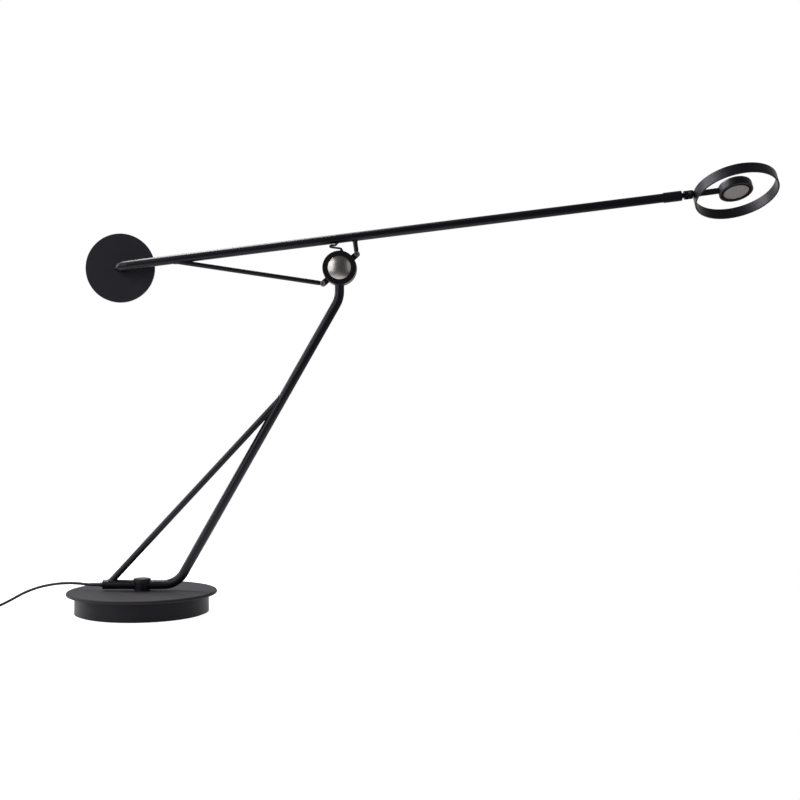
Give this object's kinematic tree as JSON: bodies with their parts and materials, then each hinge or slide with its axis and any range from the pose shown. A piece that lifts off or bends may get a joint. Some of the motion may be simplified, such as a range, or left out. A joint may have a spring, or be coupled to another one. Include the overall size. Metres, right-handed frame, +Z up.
{
  "type": "counterweight balance desk lamp",
  "caption": "Desk lamp with a heavy round base, a braced bent-tube stand, a long tilting balance arm with a disc counterweight, and a hoop-shaped swivelling light head on a knuckle.",
  "frame": {"origin": "centre of the round base, on the surface that the lamp stands on", "axes": "+Z up, +X from the base towards the lamp head, -Y towards the viewer who sees the dimmer knob"},
  "size_m": [1.2911, 0.218, 0.6531],
  "materials": {
    "black_powder_coat": "fine satin powder coat",
    "black_aluminium": "satin black coat on turned aluminium",
    "brushed_steel": "lathe-brushed, rings about the centre",
    "plated_steel": "dull nickel plate",
    "cast_iron": "raw casting",
    "brass": "turned",
    "white_nylon": "matt",
    "black_plastic": "fine matt moulding",
    "rubber_black": "satin cable jacket and soft foot pad",
    "lead_jacket": "smooth insulation",
    "frosted_diffuser": "frosted, unlit",
    "circuit_board": "white solder resist",
    "led_phosphor": "glossy"
  },
  "bodies": {
    "base": {"foot_pad": "rubber_black", "base_skirt": "black_powder_coat", "base_plate": "black_powder_coat", "ballast": "cast_iron", "bottom_cover": "black_powder_coat", "cover_screws": "plated_steel", "swivel_bush": "brass", "thrust_washer": "white_nylon", "wave_washer": "plated_steel"},
    "stand": {"swivel_post": "black_powder_coat", "clamp_cap": "black_powder_coat", "swivel_bolt": "plated_steel", "swivel_keeper": "plated_steel", "swivel_nut": "plated_steel", "stand_tube": "black_powder_coat", "brace_tube": "black_powder_coat", "foot_gland": "black_plastic", "stand_lead": "lead_jacket", "hub_housing": "black_powder_coat", "jumper_nipple": "black_powder_coat", "dimmer_module": "black_plastic", "pivot_axle": "plated_steel", "friction_washers": "white_nylon", "spring_washer": "plated_steel", "axle_nut": "plated_steel", "back_cap": "brushed_steel", "mains_cord": "rubber_black", "cord_coil": "rubber_black", "plug_body": "black_plastic", "plug_pins": "plated_steel"},
    "knob": {"dimmer_knob": "brushed_steel"},
    "arm": {"lug_ring": "black_powder_coat", "lug_bush": "brass", "short_stay": "black_powder_coat", "long_stay": "black_powder_coat", "lug_screws": "plated_steel", "lug_nuts": "plated_steel", "arm_tube": "black_powder_coat", "jumper_grommet": "black_plastic", "jumper_lead": "rubber_black", "arm_lead": "lead_jacket", "counterweight_disc": "black_powder_coat", "arm_end_plug": "plated_steel", "counterweight_screw": "plated_steel", "arm_sleeve": "black_powder_coat", "roll_bush": "brass"},
    "knuckle": {"knuckle_fork": "black_powder_coat", "hinge_pin": "plated_steel", "roll_retainer": "plated_steel", "neck_lead": "lead_jacket"},
    "head": {"hoop": "black_powder_coat", "tilt_tongue": "black_powder_coat", "neck_washer": "plated_steel", "head_stem": "black_powder_coat", "light_housing": "black_aluminium", "light_bezel": "black_aluminium", "light_diffuser": "frosted_diffuser", "led_board": "circuit_board", "stem_lead": "lead_jacket", "led_chips": "led_phosphor"}
  },
  "joints": [
    {"name": "stand_swivel", "type": "hinge", "parent": "base", "child": "stand", "pos_m": [0, 0, 0.0325], "axis": [0, 0, 1], "range_deg": [-180, 180]},
    {"name": "dimmer_turn", "type": "hinge", "parent": "stand", "child": "knob", "pos_m": [0.2893, 0, 0.505], "axis": [0, -1, 0], "range_deg": [-135, 135]},
    {"name": "arm_tilt", "type": "hinge", "parent": "stand", "child": "arm", "pos_m": [0.2893, 0.013, 0.505], "axis": [0, 1, 0], "range_deg": [-50, 45], "deforming": ["jumper_lead"]},
    {"name": "head_roll", "type": "hinge", "parent": "arm", "child": "knuckle", "pos_m": [0.79318, 0.013, 0.61296], "axis": [0.9922, 0, 0.1245], "range_deg": [-65.6, 114.4]},
    {"name": "head_tilt", "type": "hinge", "parent": "knuckle", "child": "head", "pos_m": [0.80459, 0.013, 0.61439], "axis": [0.0514, 0.9107, -0.4099], "range_deg": [-60, 60]}
  ]
}
